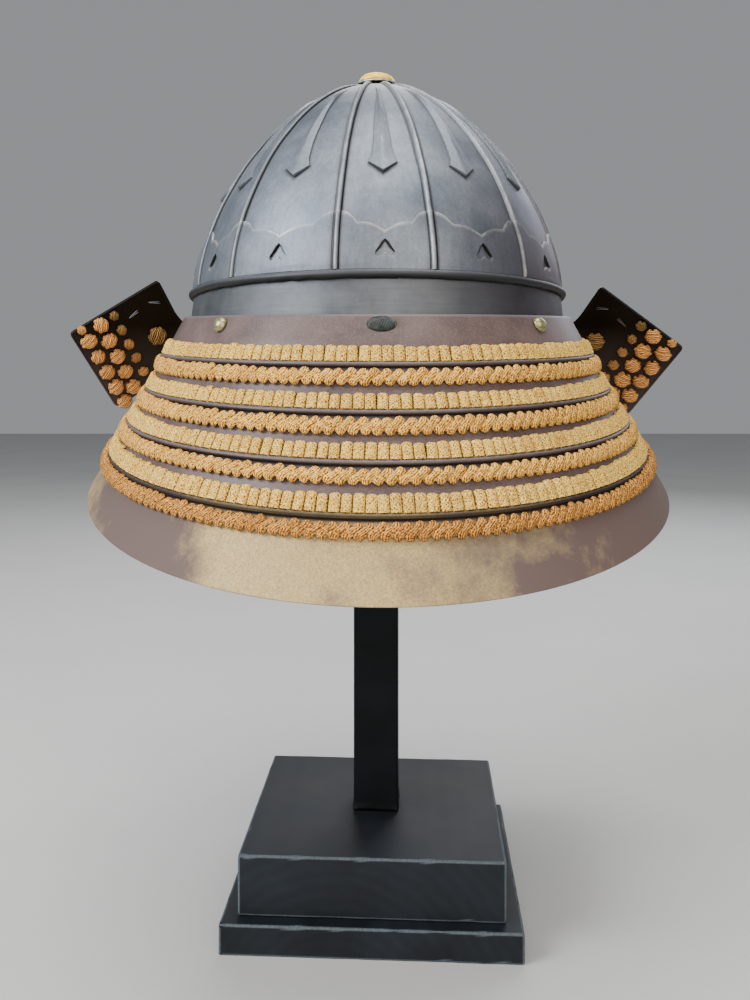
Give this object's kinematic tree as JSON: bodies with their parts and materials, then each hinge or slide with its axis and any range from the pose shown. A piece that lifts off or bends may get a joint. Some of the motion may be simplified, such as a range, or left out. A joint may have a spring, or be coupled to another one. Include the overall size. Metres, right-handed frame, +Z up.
{
  "type": "samurai helmet on a stand",
  "caption": "Ribbed iron kabuto helmet with a laced flaring neck guard and turned-back side plates, shown on a plain square post stand.",
  "frame": {"origin": "centre of the stand's underside", "axes": "+Z up; +Y the way the wearer faces, so the neck guard's broad back faces -Y; +X across the helmet"},
  "size_m": [0.3888, 0.3486, 0.4752],
  "materials": {
    "bowl_iron": "satin",
    "band_iron": "satin",
    "brown_lacquer": "satin",
    "gold_lacquer": "satin",
    "black_lacquer": "satin",
    "lacing_cord": "matte",
    "knot_cord": "matte",
    "green_cord": "matte",
    "gilt": "satin",
    "dark_brass": "satin",
    "stand_wood": "satin",
    "stand_steel": "satin"
  },
  "bodies": {
    "root": {"stand_slab": "stand_wood", "stand_block": "stand_wood", "stand_post": "stand_steel", "stand_head": "stand_wood", "bowl_plate_01": "bowl_iron", "bowl_plate_02": "bowl_iron", "bowl_plate_03": "bowl_iron", "bowl_plate_04": "bowl_iron", "bowl_plate_05": "bowl_iron", "bowl_plate_06": "bowl_iron", "bowl_plate_07": "bowl_iron", "bowl_plate_08": "bowl_iron", "bowl_plate_09": "bowl_iron", "bowl_plate_10": "bowl_iron", "bowl_plate_11": "bowl_iron", "bowl_plate_12": "bowl_iron", "bowl_plate_13": "bowl_iron", "bowl_plate_14": "bowl_iron", "crown_washer": "band_iron", "crown_boss": "gilt", "rim_bead": "bowl_iron", "waist_band": "band_iron", "peak": "brown_lacquer", "lame_1": "brown_lacquer", "lame_2": "brown_lacquer", "lame_3": "brown_lacquer", "lame_4": "brown_lacquer", "lame_5": "gold_lacquer", "lacing_row_1": "lacing_cord", "lacing_row_2": "lacing_cord", "lacing_row_3": "lacing_cord", "lacing_row_4": "lacing_cord", "rope_row_1": "lacing_cord", "rope_row_2": "lacing_cord", "rope_row_3": "lacing_cord", "rope_row_4": "lacing_cord", "rivet_left": "dark_brass", "rivet_right": "dark_brass", "centre_cord": "green_cord", "turn_back_left": "black_lacquer", "knots_outer_left": "knot_cord", "knots_middle_left": "knot_cord", "knots_inner_left": "knot_cord", "big_knot_left": "knot_cord", "turn_back_right": "black_lacquer", "knots_outer_right": "knot_cord", "knots_middle_right": "knot_cord", "knots_inner_right": "knot_cord", "big_knot_right": "knot_cord"}
  },
  "joints": []
}
